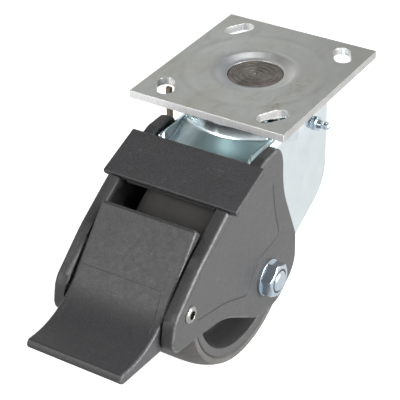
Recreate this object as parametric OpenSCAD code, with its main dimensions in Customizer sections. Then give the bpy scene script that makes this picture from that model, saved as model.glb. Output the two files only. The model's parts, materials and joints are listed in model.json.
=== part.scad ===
// Swivel castor with a top plate, a double ball raceway and a foot brake.
// The origin is the middle of the plate's mounting face, on the swivel axis, with Z up.
// The wheel's axle lies along X, and the wheel trails towards -Y. Lengths are in millimetres.

/* [Top plate] */
// Plate size along the axle
plate_width = 101.6; // [90:0.1:130]
// Plate size along the direction of travel
plate_length = 114.3; // [105:0.1:140]
// Plate thickness
plate_thickness = 4.8; // [4:0.1:6.5]
// Width of the bolt slots
slot_width = 10.3; // [8:0.1:12]
// Slot end centres nearest the long edges, spacing across
slot_wide_x = 76.2; // [72:0.1:80]
// Slot end centres nearest the long edges, spacing along
slot_wide_y = 76.2; // [72:0.1:80]
// Slot end centres nearest the short edges, spacing across
slot_narrow_x = 66.7; // [62:0.1:70]
// Slot end centres nearest the short edges, spacing along
slot_narrow_y = 92.1; // [88:0.1:95]
// Outer radius of the dish pressed round the kingpin head
dish_radius = 25; // [22:0.1:27]
// Depth of that dish
dish_depth = 2.4; // [1.5:0.1:3]

/* [Swivel bearing] */
// Diameter of all bearing balls in the swivel
ball_diameter = 7.94; // [7:0.01:8.5]
// Pitch circle diameter of the lower balls
lower_ball_circle = 40; // [38:0.1:44]
// Diameter of the kingpin shank
kingpin_diameter = 19; // [16:0.1:20]
// Diameter of the kingpin head
kingpin_head_diameter = 33; // [30:0.1:36]
// Width across the flats of the kingpin nut
kingpin_nut_flats = 28.6; // [26:0.1:30]
// Height of the kingpin nut
kingpin_nut_height = 11; // [8:0.1:12]

/* [Fork] */
// Thickness of the pressed fork steel
fork_sheet = 4.8; // [4:0.1:5.5]
// Free width between the fork legs
fork_gap = 56.8; // [56.4:0.1:64]
// Depth of the fork shoulders below the plate's top face
shoulder_depth = 21.5; // [20.5:0.1:26]
// Outer diameter of the ball race drum
drum_diameter = 85.2; // [84:0.1:90]
// Steel left outside the upper ball track
race_wall = 3.4; // [3:0.1:4.2]
// Horizontal distance from the swivel axis to the wheel axle
swivel_lead = 55.3; // [52:0.1:57]
// Gap between the tyre and the underside of the fork
wheel_headroom = 11; // [9.5:0.1:14]
// Reach of the fork legs behind the swivel axis
leg_rear = 29.3; // [26:0.1:34]
// Reach of the fork legs in front of the swivel axis
leg_front = 58; // [54:0.1:60]
// Radius of the leg ends round the axle
leg_end_radius = 21; // [18:0.1:23]

/* [Wheel] */
// Wheel diameter over the tread
wheel_diameter = 127; // [120:0.1:150]
// Tread width
wheel_width = 50.8; // [44:0.1:51.5]
// Height of the tread's crown, from its middle to its edges
tread_crown = 4.3; // [2:0.1:5]
// Thickness of the tyre on its core
tyre_thickness = 8; // [6.5:0.1:10]
// Width of the plain ring at the core's rim
rim_face = 5.6; // [4:0.1:7]
// Thickness of the wheel's middle web
web_thickness = 10; // [7:0.1:14]
// Outer diameter of the hub
hub_diameter = 39; // [36:0.1:44]
// Diameter of the sleeve that the rollers run on
sleeve_diameter = 19; // [17:0.1:21]
// Diameter of the bearing rollers
roller_diameter = 4.7; // [4:0.1:5.2]
// Thickness of the thrust washers at the hub's ends
thrust_washer = 1; // [0.8:0.1:1.4]

/* [Axle bolt] */
// Diameter of the axle bolt
bolt_diameter = 12.7; // [11:0.1:13]
// Width across the flats of its head and nut
bolt_flats = 19; // [18:0.1:20.5]
// Height of the bolt head
bolt_head_height = 7.9; // [6:0.1:9]
// Height of the nut
nut_height = 7; // [6:0.1:11]
// Thickness of the washers under head and nut
washer_thickness = 2.3; // [1.6:0.1:3]
// Diameter of those washers
washer_diameter = 22.4; // [22.2:0.1:27]

/* [Brake housing] */
// Distance from the fork leg to the cheek's outer face
cheek_depth = 6.8; // [6:0.1:9]
// Thickness of the cheek's outer wall
cheek_wall = 3.4; // [3:0.1:4]
// Width of the flange along the cheek's edge
cheek_flange = 5.5; // [4.5:0.1:7]
// Radius of the cheek's outer edges
cheek_edge = 2; // [1:0.1:2.3]
// Thickness of the bridge across both cheeks
bridge_thickness = 3.4; // [3:0.1:4.5]
// How far the bridge stands out past each cheek
bridge_overhang = 4; // [2:0.1:6]

/* [Brake pedal] */
// Width of the pedal
pedal_width = 62; // [52:0.1:63.4]
// Thickness of the pedal's skin and side walls
pedal_wall = 3; // [2.4:0.1:3.6]
// Radius of the pedal's side edges
pedal_edge = 1.8; // [1:0.1:1.9]
// Diameter of the tubular pivot pin
pin_diameter = 8; // [6.5:0.1:9]
// Bore of the tubular pivot pin
pin_bore = 5; // [3.5:0.1:5.6]
// Diameter of the pin's rolled heads
pin_head_diameter = 10.4; // [10:0.1:13]
// Distance from the tread to the pivot pin
pin_standoff = 24; // [22:0.1:27]
// Height of the pin over the axle, as an angle in degrees
pin_angle = 18.3; // [17:0.1:20]
// Pedal travel from free to locked, in degrees
pedal_travel = 14; // [8:0.5:16]

/* [Hidden] */
$fn = 96;

// Named clearances
slip = 0.05;
head_clearance = 0.25;
kingpin_clearance = 0.7;
ball_clearance = 0.25;
roller_clearance = 0.1;
bolt_clearance = 0.15;
brake_gap = 0.3;
cut = 1;
arc_error = 0.03;

// Colours
zinc = [0.72, 0.78, 0.8];
bright_zinc = [0.82, 0.86, 0.9];
bare_steel = [0.43, 0.4, 0.37];
black_nylon = [0.2, 0.2, 0.21];
dark_rubber = [0.16, 0.16, 0.15];

// Swivel bearing, from the plate downwards
ball_r = ball_diameter / 2;
groove_r = ball_r + ball_clearance;
upper_ball_circle = drum_diameter - 2 * (race_wall + groove_r);
race_gap = 2.4;
race_land = 5.5;
upper_ball_z = -plate_thickness - 6.6;
land_z = upper_ball_z + race_gap / 2;
drum_top = upper_ball_z - race_gap / 2;
drum_roof = 6;
drum_under = drum_top - drum_roof;
lower_ball_z = drum_under - ball_r + 1.7;
lower_race_top = lower_ball_z - 1.2;
lower_race_height = 5;
lower_race_r = lower_ball_circle / 2 + 7;
nut_top = lower_race_top - lower_race_height;
kingpin_end = nut_top - kingpin_nut_height - 2;
kingpin_r = kingpin_diameter / 2;
head_top = -dish_depth - 0.2;
head_height = 4.4;
cup_r = kingpin_head_diameter / 2 + 5.5;
cup_bottom = -plate_thickness - dish_depth - 2.4;
drum_r = drum_diameter / 2;
drum_wall = 4.8;

// Fork and axle
leg_inner = fork_gap / 2;
leg_outer = leg_inner + fork_sheet;
shoulder_z = -shoulder_depth;
wheel_r = wheel_diameter / 2;
axle_y = -swivel_lead;
axle_z = shoulder_z - fork_sheet - wheel_headroom - wheel_r;
bolt_r = bolt_diameter / 2;
bolt_hole_r = bolt_r + bolt_clearance;

// Wheel and its roller bearing
core_r = wheel_r - tyre_thickness;
recess_r = core_r - rim_face;
hub_half = leg_inner - thrust_washer - 0.1;
sleeve_r = sleeve_diameter / 2;
roller_r = roller_diameter / 2;
roller_pitch = sleeve_r + roller_r + roller_clearance;
hub_bore = roller_pitch + roller_r + roller_clearance;
cage_half = hub_half - 2;
roller_half = cage_half - 3;
roller_count = 12;

// Brake housing
cheek_outer = leg_outer + cheek_depth;
cheek_inner = leg_outer - 0.8;
seat_x = cheek_outer - 0.6;
pocket_x = cheek_outer - cheek_wall;
washer_r = washer_diameter / 2;
leg_lean = 12.5;
nut_turn = 22;
pin_r = pin_diameter / 2;
pin_y = axle_y - (wheel_r + pin_standoff) * cos(pin_angle);
pin_z = axle_z + (wheel_r + pin_standoff) * sin(pin_angle);

// A place given by its direction and its distance from the tread, seen along the axle
function off_tread(angle, distance) =
    [axle_y + (wheel_r + distance) * cos(angle), axle_z + (wheel_r + distance) * sin(angle)];
function off_axle(y, z) = [axle_y + y, axle_z + z];
function off_pin(y, z) = [pin_y + y, pin_z + z];

// Corners of an outline are [y, z, radius]. These functions round them and move them inwards.
function unit(v) = v / norm(v);
function corner(p, r) = [p[0], p[1], r];
function flat(c) = [c[0], c[1]];
function edge(c, i, j) = unit(flat(c[j]) - flat(c[i]));
function inward(d) = [-d[1], d[0]];
function before(c, i) = (i + len(c) - 1) % len(c);
function after(c, i) = (i + 1) % len(c);
function turn(c, i) = let (a = edge(c, before(c, i), i), b = edge(c, i, after(c, i)))
    atan2(a[0] * b[1] - a[1] * b[0], a * b);
// An arc has so many steps that its chords stay within a small error of it
function arc_steps(c, i) =
    max(1, ceil(abs(turn(c, i)) / (2 * acos(1 - arc_error / max(c[i][2], 0.4)))));
function steps_of(c) = [for (i = [0 : len(c) - 1]) arc_steps(c, i)];
function round_corner(c, i, steps) =
    let (a = edge(c, before(c, i), i),
         t = turn(c, i),
         side = t >= 0 ? 1 : -1,
         r = c[i][2],
         start = flat(c[i]) - a * r * tan(abs(t) / 2),
         centre = start + inward(a) * r * side,
         first = atan2(start[1] - centre[1], start[0] - centre[0]))
    [for (k = [0 : steps]) centre + r * [cos(first + t * k / steps), sin(first + t * k / steps)]];
function rounded_by(c, steps) = [for (i = [0 : len(c) - 1]) each round_corner(c, i, steps[i])];
function rounded(c) = rounded_by(c, steps_of(c));
function inset(c, d) =
    [for (i = [0 : len(c) - 1])
        let (m = inward(edge(c, before(c, i), i)), n = inward(edge(c, i, after(c, i))),
             p = flat(c[i]) + (m + n) * d / (1 + m * n))
        corner(p, turn(c, i) >= 0 ? max(0.05, c[i][2] - d) : c[i][2] + d)];

// A ribbon of even width along an open path of [y, z] points
function normal_at(p, i) =
    inward(unit(p[min(i + 1, len(p) - 1)] - p[max(i - 1, 0)]));
function ribbon(p, w) = concat(
    [for (i = [0 : len(p) - 1]) p[i] + normal_at(p, i) * w / 2],
    [for (i = [len(p) - 1 : -1 : 0]) p[i] - normal_at(p, i) * w / 2]);
function open_path(c) = concat([flat(c[0])],
    [for (i = [1 : len(c) - 2]) each round_corner(c, i, arc_steps(c, i))], [flat(c[len(c) - 1])]);

// A hollow outline is cut into triangles by taking off one convex corner after another
function side_of(a, b, p) = (b[0] - a[0]) * (p[1] - a[1]) - (b[1] - a[1]) * (p[0] - a[0]);
function holds(a, b, c, p) = side_of(a, b, p) > 0 && side_of(b, c, p) > 0 && side_of(c, a, p) > 0;
function ear(ids, i) = [ids[before(ids, i)], ids[i], ids[after(ids, i)]];
function is_ear(p, e, ids) = side_of(p[e[0]], p[e[1]], p[e[2]]) > 0
    && len([for (k = ids) if (holds(p[e[0]], p[e[1]], p[e[2]], p[k])) k]) == 0;
function first_ear(p, ids, i = 0) =
    i == len(ids) - 1 || is_ear(p, ear(ids, i), ids) ? i : first_ear(p, ids, i + 1);
function triangles(p, ids, done = []) =
    len(ids) == 3 ? concat(done, [ids])
    : let (i = first_ear(p, ids))
        triangles(p, [for (k = [0 : len(ids) - 1]) if (k != i) ids[k]], concat(done, [ear(ids, i)]));

// A solid whose side view is an outline and whose ends have rounded edges
module soft_block(c, x0, x1, r0, r1) {
    levels = r0 > 0 ? concat([for (a = [0 : 30 : 60]) [x0 + r0 * (1 - cos(a)), r0 * (1 - sin(a))]],
                             [[x0 + r0, 0]]) : [[x0, 0]];
    tops = r1 > 0 ? concat([[x1 - r1, 0]],
                           [for (a = [60 : -30 : 0]) [x1 - r1 * (1 - cos(a)), r1 * (1 - sin(a))]])
                  : [[x1, 0]];
    all = concat(levels, tops);
    steps = steps_of(c);
    outlines = [for (l = all) rounded_by(inset(c, l[1]), steps)];
    n = len(outlines[0]);
    points = [for (k = [0 : len(all) - 1]) for (p = outlines[k]) [all[k][0], p[0], p[1]]];
    sides = [for (k = [0 : len(all) - 2]) for (i = [0 : n - 1])
        [k * n + i, (k + 1) * n + i, (k + 1) * n + (i + 1) % n, k * n + (i + 1) % n]];
    ring = [for (i = [0 : n - 1]) i];
    last = (len(all) - 1) * n;
    polyhedron(points, concat(triangles(outlines[0], ring),
        [for (t = triangles(outlines[len(all) - 1], ring)) [last + t[2], last + t[1], last + t[0]]], sides));
}

// A prism along X from a [y, z] shape
module along_x(x0, x1) {
    translate([x0, 0, 0]) rotate([90, 0, 90]) linear_extrude(x1 - x0) children();
}
// A turned piece on the axle line, drawn as [radius, x]
module on_axle() {
    translate([0, axle_y, axle_z]) rotate([0, 90, 0]) rotate_extrude() children();
}
module rod_x(x0, x1, r, y, z, faces = 0) {
    translate([x0, y, z]) rotate([0, 90, 0]) cylinder(h = x1 - x0, r = r, $fn = faces == 0 ? $fn : faces);
}
module both_sides() {
    children();
    mirror([1, 0, 0]) children();
}

module top_plate() {
    color(zinc) difference() {
        union() {
            translate([-plate_width / 2, -plate_length / 2, -plate_thickness])
                cube([plate_width, plate_length, plate_thickness]);
            translate([0, 0, cup_bottom]) cylinder(h = plate_thickness, r = cup_r);
            rotate_extrude() polygon([[upper_ball_circle / 2 - race_land, land_z],
                [drum_r - 1, land_z], [drum_r, land_z + 1], [drum_r, -plate_thickness + cut],
                [upper_ball_circle / 2 - race_land, -plate_thickness + cut]]);
        }
        rotate_extrude() translate([upper_ball_circle / 2, upper_ball_z]) circle(r = groove_r, $fn = 48);
        dish();
        translate([0, 0, head_top - head_height])
            cylinder(h = head_height + 3, r = kingpin_head_diameter / 2 + head_clearance);
        translate([0, 0, cup_bottom - cut]) cylinder(h = -cup_bottom, r = kingpin_r);
        for (sx = [-1, 1], sy = [-1, 1]) slot(sx, sy);
    }
}
module dish() {
    // A shallow pressing with a soft lip, as a lens-shaped turned cut
    floor_r = kingpin_head_diameter / 2 + 1.6;
    rotate_extrude() polygon(concat([[0, -dish_depth], [floor_r, -dish_depth]],
        [for (k = [1 : 9]) [floor_r + (dish_radius - floor_r) * k / 10,
                            -dish_depth * (1 + cos(180 * k / 10)) / 2]],
        [[dish_radius, 0], [dish_radius, cut], [0, cut]]));
}
module slot(sx, sy) {
    near = [sx * slot_wide_x / 2, sy * slot_wide_y / 2];
    far = [sx * slot_narrow_x / 2, sy * slot_narrow_y / 2];
    run = far - near;
    translate([near[0], near[1], -plate_thickness - cut]) rotate([0, 0, atan2(run[1], run[0])])
        linear_extrude(plate_thickness + 2 * cut) union() {
            circle(d = slot_width, $fn = 48);
            translate([norm(run), 0]) circle(d = slot_width, $fn = 48);
            translate([0, -slot_width / 2]) square([norm(run), slot_width]);
        }
}

module kingpin() {
    color(bare_steel) difference() {
        union() {
            translate([0, 0, head_top - head_height])
                cylinder(h = head_height, r = kingpin_head_diameter / 2);
            translate([0, 0, kingpin_end + 1])
                cylinder(h = head_top - kingpin_end - 2, r = kingpin_r);
            translate([0, 0, kingpin_end]) cylinder(h = 1, r1 = kingpin_r - 1, r2 = kingpin_r);
        }
        translate([0, 0, head_top - 0.9]) cylinder(h = 1, r1 = 0.4, r2 = 2.4);
        for (r = [4.6, 8.2, 11.6, 14.4])
            translate([0, 0, head_top]) rotate_extrude() translate([r, 0.35]) circle(r = 0.6, $fn = 24);
    }
}

module balls(circle_d, z) {
    count = floor(180 / asin((ball_diameter + 0.1) / circle_d));
    color("silver") for (i = [0 : count - 1]) rotate([0, 0, 360 * i / count])
        translate([circle_d / 2, 0, z]) sphere(r = ball_r, $fn = 32);
}
module upper_balls() {
    balls(upper_ball_circle, upper_ball_z);
}
module lower_balls() {
    balls(lower_ball_circle, lower_ball_z);
}

module lower_race() {
    color(zinc) rotate_extrude() difference() {
        union() {
            translate([kingpin_r, nut_top]) square([lower_race_r - 1 - kingpin_r, lower_race_height]);
            translate([kingpin_r, nut_top + 1]) square([lower_race_r - kingpin_r, lower_race_height - 1]);
        }
        translate([lower_ball_circle / 2, lower_ball_z]) circle(r = groove_r, $fn = 48);
    }
}

module kingpin_nut() {
    color(zinc) translate([0, 0, nut_top - kingpin_nut_height]) difference() {
        cylinder(h = kingpin_nut_height, d = kingpin_nut_flats / cos(30), $fn = 6);
        translate([0, 0, -cut]) cylinder(h = kingpin_nut_height + 2 * cut, r = kingpin_r);
    }
}

// The fork's side view: a wide top, a swept rear edge and a round end at the axle
leg_low = [leg_rear, axle_z + 18.3];
leg_top_front = [-leg_front, shoulder_z];
function tangent(p, r, side) =
    let (v = p - [axle_y, axle_z], d = norm(v), a = atan2(v[1], v[0]) + side * acos(r / d))
    [axle_y + r * cos(a), axle_z + r * sin(a)];
function leg_corners() = [
    [leg_rear, shoulder_z, 8],
    corner(leg_top_front, 7),
    corner(tangent(leg_top_front, leg_end_radius, 1), 0.05),
    corner(tangent(leg_low, leg_end_radius, -1), 0.05),
    corner(leg_low, 26)];
module leg_shape() {
    polygon(rounded(leg_corners()));
    translate([axle_y, axle_z]) circle(r = leg_end_radius);
}

// The front saddle of the fork falls away from the drum in a hollow curve
saddle_drop = 7;
saddle_run = leg_front + 4 - drum_r;
saddle_steps = 12;
function saddle(lift) = [for (k = [0 : saddle_steps]) let (u = 1.5 * k / saddle_steps)
    [drum_r + saddle_run * u, shoulder_z - saddle_drop * sin(90 * min(1, u)) + lift]];

module fork() {
    color(zinc) difference() {
        union() {
            difference() {
                intersection() {
                    fork_section();
                    along_x(-leg_outer - cut, leg_outer + cut) leg_shape();
                }
                intersection() {
                    rotate_extrude() polygon(concat(saddle(-0.5), [[drum_r + 1.5 * saddle_run, -5], [drum_r, -5]]));
                    saddle_box(leg_front + 10);
                }
            }
            intersection() {
                rotate_extrude() polygon(concat(saddle(0), [for (k = [saddle_steps : -1 : 0]) saddle(-4)[k]]));
                saddle_box(leg_front);
            }
            drum();
        }
        translate([0, 0, drum_under - cut])
            cylinder(h = drum_top - drum_under + 2 * cut, r = kingpin_r + kingpin_clearance);
        rotate_extrude() translate([upper_ball_circle / 2, upper_ball_z]) circle(r = groove_r, $fn = 48);
        rotate_extrude() translate([lower_ball_circle / 2, lower_ball_z]) circle(r = groove_r, $fn = 48);
        intersection() {
            translate([0, 0, axle_z]) cylinder(h = drum_under - axle_z, r = drum_r - drum_wall);
            translate([-leg_inner, -drum_r, axle_z]) cube([fork_gap, drum_diameter, -axle_z]);
        }
        rod_x(-leg_outer - cut, leg_outer + cut, bolt_hole_r, axle_y, axle_z);
        nipple_place() translate([0, 0, -8]) cylinder(h = 12, r = 2.5, $fn = 32);
    }
}
module fork_section() {
    bend_out = 6;
    bend_in = 1.5;
    low = axle_z - 2 * leg_end_radius;
    roof = shoulder_z - fork_sheet;
    side = [[leg_outer, low, 0.05], [leg_outer, shoulder_z, bend_out],
            [-leg_outer, shoulder_z, bend_out], [-leg_outer, low, 0.05]];
    hollow = [[leg_inner, low - cut, 0.05], [leg_inner, roof, bend_in],
              [-leg_inner, roof, bend_in], [-leg_inner, low - cut, 0.05]];
    translate([0, 2 * leg_rear, 0]) rotate([90, 0, 0]) linear_extrude(2.5 * leg_front) difference() {
        polygon(rounded(side));
        polygon(rounded(hollow));
    }
}
module saddle_box(reach) {
    translate([-leg_inner - 0.05, -reach, shoulder_z - 20]) cube([fork_gap + 0.1, reach - 25, 40]);
}
module drum() {
    rotate_extrude() polygon([[0, drum_under], [drum_r - drum_wall, drum_under],
        [drum_r - drum_wall, shoulder_z - fork_sheet], [drum_r, shoulder_z - fork_sheet],
        [drum_r, drum_top - 3], [drum_r - 0.8, drum_top - 1.2], [drum_r - 2.4, drum_top], [0, drum_top]]);
}

// The grease nipple stands on the drum's side, tilted up a little
module nipple_place() {
    rotate([0, 0, -8]) translate([drum_r, 0, (drum_top + shoulder_z - fork_sheet) / 2 - 1])
        rotate([0, 90 - 7, 0]) children();
}
module grease_nipple() {
    color(bright_zinc) nipple_place() {
        translate([0, 0, -3.6]) cylinder(h = 4.6, r = 2.5, $fn = 32);
        translate([0, 0, 0.9]) cylinder(h = 3, d = 8 / cos(30), $fn = 6);
        translate([0, 0, 3.8]) cylinder(h = 3.4, r1 = 3, r2 = 2.2, $fn = 32);
        translate([0, 0, 7.1]) cylinder(h = 1.5, r = 1.9, $fn = 32);
        translate([0, 0, 9.2]) sphere(r = 2.5, $fn = 32);
    }
}

// A small square bar on the left leg reaches up to just under the plate
module stop_finger() {
    bar = [3.4, 2.4];
    bar_y = axle_y + 20.6;
    reach = 6;
    foot_z = shoulder_z - 22;
    color([0.36, 0.31, 0.22]) {
        translate([-leg_outer - reach - bar[0] / 2, bar_y, foot_z])
            cube([bar[0], bar[1], -plate_thickness - 1.3 - foot_z]);
        translate([-leg_outer - reach, bar_y, foot_z]) cube([reach, bar[1], 9]);
    }
}

module wheel_core() {
    w = wheel_width / 2;
    web = web_thickness / 2;
    hub_r = hub_diameter / 2;
    color(black_nylon) on_axle() polygon([
        [hub_bore, -hub_half], [hub_r, -hub_half], [hub_r + 1, -web - 2], [hub_r + 3, -web],
        [recess_r - 5, -web], [recess_r - 3, -web - 2], [recess_r, -w + 1], [core_r - 0.8, -w + 0.4],
        [core_r, -w + 1.4],
        [core_r, w - 1.4], [core_r - 0.8, w - 0.4], [recess_r, w - 1], [recess_r - 3, web + 2],
        [recess_r - 5, web], [hub_r + 3, web], [hub_r + 1, web + 2], [hub_r, hub_half],
        [hub_bore, hub_half]]);
}
module tyre() {
    // The tread is crowned: nearly flat in the middle and rounder towards its edges
    w = wheel_width / 2;
    edge_r = wheel_r - tread_crown;
    crown = [for (u = [1, 0.94, 0.86, 0.76, 0.64, 0.5, 0.34, 0.17])
        [wheel_r - tread_crown * pow(u, 3.5), (w - 0.1) * u]];
    color(dark_rubber) on_axle() polygon(concat(
        [[core_r, w - 1.4], [core_r + 0.7, w], [edge_r - 0.6, w]], crown, [[wheel_r, 0]],
        [for (i = [len(crown) - 1 : -1 : 0]) [crown[i][0], -crown[i][1]]],
        [[edge_r - 0.6, -w], [core_r + 0.7, -w], [core_r, -w + 1.4]]));
}

module axle_sleeve() {
    color("silver") on_axle() translate([bolt_r + slip, -leg_inner])
        square([sleeve_r - bolt_r - slip, fork_gap]);
}
module rollers(r, half) {
    for (i = [0 : roller_count - 1])
        translate([0, axle_y, axle_z]) rotate([360 * i / roller_count, 0, 0])
            translate([-half, 0, roller_pitch]) rotate([0, 90, 0]) cylinder(h = 2 * half, r = r, $fn = 24);
}
module roller_cage() {
    color([0.75, 0.62, 0.3]) difference() {
        on_axle() translate([roller_pitch - 1, -cage_half]) square([2, 2 * cage_half]);
        rollers(roller_r + 0.1, roller_half + 0.3);
    }
}
module bearing_rollers() {
    color("silver") rollers(roller_r, roller_half);
}
module thrust_washers() {
    color(zinc) both_sides() on_axle() translate([sleeve_r + slip, leg_inner - thrust_washer])
        square([hub_diameter / 2 - 1 - sleeve_r - slip, thrust_washer]);
}

// A hexagon across the axle whose outer end is chamfered
module hexagon(x0, height, x_out) {
    face_r = bolt_flats / 2 - 0.3;
    wide_r = bolt_flats / 2 + 4;
    out = x_out > x0 ? 1 : -1;
    foot = x_out - out * (height + cut);
    intersection() {
        translate([x0, axle_y, axle_z]) rotate([0, 90, 0]) rotate([0, 0, 90 - nut_turn])
            cylinder(h = height, d = bolt_flats / cos(30), $fn = 6);
        on_axle() polygon([[0, foot], [wide_r, foot], [wide_r, x_out - out * (wide_r - face_r) * tan(30)],
            [face_r, x_out], [0, x_out]]);
    }
}
module axle_bolt() {
    washer_out = seat_x + washer_thickness;
    bolt_end = washer_out + nut_height + 1;
    color(bright_zinc) {
        hexagon(-washer_out - bolt_head_height, bolt_head_height, -washer_out - bolt_head_height);
        rod_x(-washer_out - 0.5, bolt_end - 0.9, bolt_r, axle_y, axle_z);
        translate([bolt_end - 0.9, axle_y, axle_z]) rotate([0, 90, 0])
            cylinder(h = 0.9, r1 = bolt_r, r2 = bolt_r - 0.9);
    }
}
module axle_washers() {
    color(bright_zinc) both_sides() on_axle() translate([bolt_r + slip, seat_x])
        square([washer_r - bolt_r - slip, washer_thickness]);
}
module axle_nut() {
    color(bright_zinc) difference() {
        hexagon(seat_x + washer_thickness, nut_height, seat_x + washer_thickness + nut_height);
        rod_x(seat_x - cut, seat_x + washer_thickness + nut_height + cut, bolt_r, axle_y, axle_z);
    }
}

// The bridge lies along a line from above the wheel down to the front rims
bridge_high = off_tread(96.8, 18.9);
bridge_low = off_tread(120.5, 18.4);
bridge_run = unit(bridge_high - bridge_low);
bridge_down = [bridge_run[1], -bridge_run[0]];
function bridge_point(along, depth) = bridge_low + bridge_run * along + bridge_down * depth;
bridge_length = norm(bridge_high - bridge_low);

// Outline of a cheek, from the front rim round the pin end, the axle and up the rear edge
function cheek_corners() = [
    corner(bridge_point(-0.2, bridge_thickness), 0.3),
    corner(bridge_point(-0.9, 0.4), 0.8),
    corner(off_pin(11.4, 24.6), 80),
    corner(off_pin(-14.8, 3.6), 15),
    corner(off_pin(-19.2, -17.2), 8.5),
    corner(off_axle(-48.6, 1.4), 60),
    corner(off_axle(-8.6, -25.4), 20),
    corner(off_axle(14.4, -27.2), 20),
    corner(off_axle(36.2, -12.8), 18),
    corner(off_axle(36.2, 10.2), 18),
    corner(off_axle(19.6, 51.2), 60),
    corner(bridge_high + [29.5, -12.5], 9),
    corner(bridge_high + [26.6, -0.8], 8),
    corner(bridge_high + [9.1, -0.8], 6),
    corner(bridge_point(bridge_length + 0.4, bridge_thickness), 0.5)];
// Shallow lines moulded into the cheek's face
function panel_line() = [
    corner(off_axle(6.3, 60.9), 0),
    corner(off_axle(9, 41.2), 50),
    corner(off_axle(14.6, 21.2), 4),
    corner(off_axle(-9.2, 18.7), 12),
    corner(off_axle(-23.1, 1.1), 4),
    corner(off_axle(-45.6, 11.2), 50),
    corner(off_pin(6.6, -8.6), 0)];
function rim_line() = [
    corner(bridge_point(bridge_length, 9), 0),
    corner(bridge_point(0.5, 6.4), 12),
    corner(off_pin(10, 19.4), 70),
    corner(off_pin(-1.5, 9.5), 0)];

module cheek() {
    difference() {
        soft_block(cheek_corners(), cheek_inner, cheek_outer, 0, cheek_edge);
        // Behind the front edge of the fork leg the cheek lies flat on the leg
        translate([cheek_inner - cut, axle_y - leg_end_radius - 1.5, axle_z]) rotate([-leg_lean, 0, 0])
            translate([0, 0, -100]) cube([leg_outer - cheek_inner + cut, 120, 200]);
        along_x(cheek_inner - cut, pocket_x) difference() {
            polygon(rounded(inset(cheek_corners(), cheek_flange)));
            translate([axle_y, axle_z]) circle(r = 17);
            translate([pin_y, pin_z]) circle(r = 9);
            pocket_ribs();
        }
        rod_x(cheek_inner - cut, cheek_outer + cut, bolt_hole_r, axle_y, axle_z);
        rod_x(seat_x, cheek_outer + cut, washer_r + 0.4, axle_y, axle_z);
        rod_x(cheek_inner - cut, cheek_outer + cut, pin_r + slip, pin_y, pin_z);
        along_x(cheek_outer - 0.6, cheek_outer + cut) {
            polygon(ribbon(open_path(panel_line()), 1));
            polygon(ribbon(open_path(rim_line()), 0.9));
        }
    }
}
module pocket_ribs() {
    // Two ribs join the pin boss and the axle boss, one stands up to the bump
    for (a = [150, 175]) translate([axle_y, axle_z]) rotate(a) translate([0, -1.2]) square([130, 2.4]);
    translate([axle_y, axle_z]) rotate(85) translate([0, -1.2]) square([90, 2.4]);
}
module left_cheek() {
    color(black_nylon) mirror([1, 0, 0]) cheek();
}
module right_cheek() {
    color(black_nylon) cheek();
}

module bridge() {
    half = cheek_outer + bridge_overhang;
    plate = [corner(bridge_point(bridge_length, 0), 1.2), corner(bridge_low, 1.2),
             corner(bridge_point(0, bridge_thickness), 0.6),
             corner(bridge_point(bridge_length, bridge_thickness), 0.6)];
    rib = [bridge_point(bridge_length - 3, bridge_thickness - 0.2), bridge_point(2, bridge_thickness - 0.2),
           bridge_point(3, bridge_thickness + 5), bridge_point(bridge_length - 4, bridge_thickness + 5)];
    color(black_nylon) {
        soft_block(plate, -half, half, 1, 1);
        both_sides() {
            along_x(cheek_inner - 2.8, cheek_inner - 0.2) polygon(rib);
            along_x(cheek_outer + 0.2, half - 0.8) {
                hook(0.6);
                hook(bridge_length - 4.6);
            }
        }
    }
}
module hook(along) {
    polygon([bridge_point(along, bridge_thickness - 0.8), bridge_point(along + 0.8, bridge_thickness + 2),
             bridge_point(along + 3.2, bridge_thickness + 2), bridge_point(along + 4, bridge_thickness - 0.8)]);
}

// The shoe's tip sits where a turn by the pedal's travel brings it square onto the tread
shoe_angle = -pin_angle - pedal_travel;
shoe_reach = pin_standoff - brake_gap;
shoe_tip = off_pin(shoe_reach * cos(shoe_angle), shoe_reach * sin(shoe_angle));
function pedal_corners() = [
    corner(off_pin(22.4, 38.6), 2),
    corner(off_pin(-24.2, -10.6), 46),
    corner(off_pin(-52.4, -8.7), 2.2),
    corner(off_pin(-54.6, -12.4), 2),
    corner(off_pin(-51.4, -15.8), 2.5),
    corner(shoe_tip + [-9, -8], 6),
    corner(shoe_tip, 4.5),
    corner(off_pin(17, 4), 20),
    corner(off_pin(27.4, 32.6), 4)];
// What the moulding leaves open behind the pedal's skin
function pedal_hollow() = [
    corner(off_pin(21.6, 33.4), 1),
    corner(off_pin(-23.2, -13.4), 44),
    corner(off_pin(-48, -12), 1),
    corner(off_pin(-48, -30), 1),
    corner(shoe_tip + [-12, -14], 1),
    corner(shoe_tip + [-6.5, 1.5], 2),
    corner(off_pin(15, 1), 8),
    corner(off_pin(40, 26), 1)];

module pedal() {
    half = pedal_width / 2;
    inner = half - pedal_wall;
    bay = inner / 2;
    color(black_nylon) difference() {
        soft_block(pedal_corners(), -half, half, pedal_edge, pedal_edge);
        for (i = [-2 : 1]) along_x(i * bay + pedal_wall / 2, (i + 1) * bay - pedal_wall / 2)
            difference() {
                polygon(rounded(pedal_hollow()));
                translate([pin_y, pin_z]) circle(r = pin_r + 4);
            }
        rod_x(-half - cut, half + cut, pin_r + slip, pin_y, pin_z);
    }
}

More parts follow.
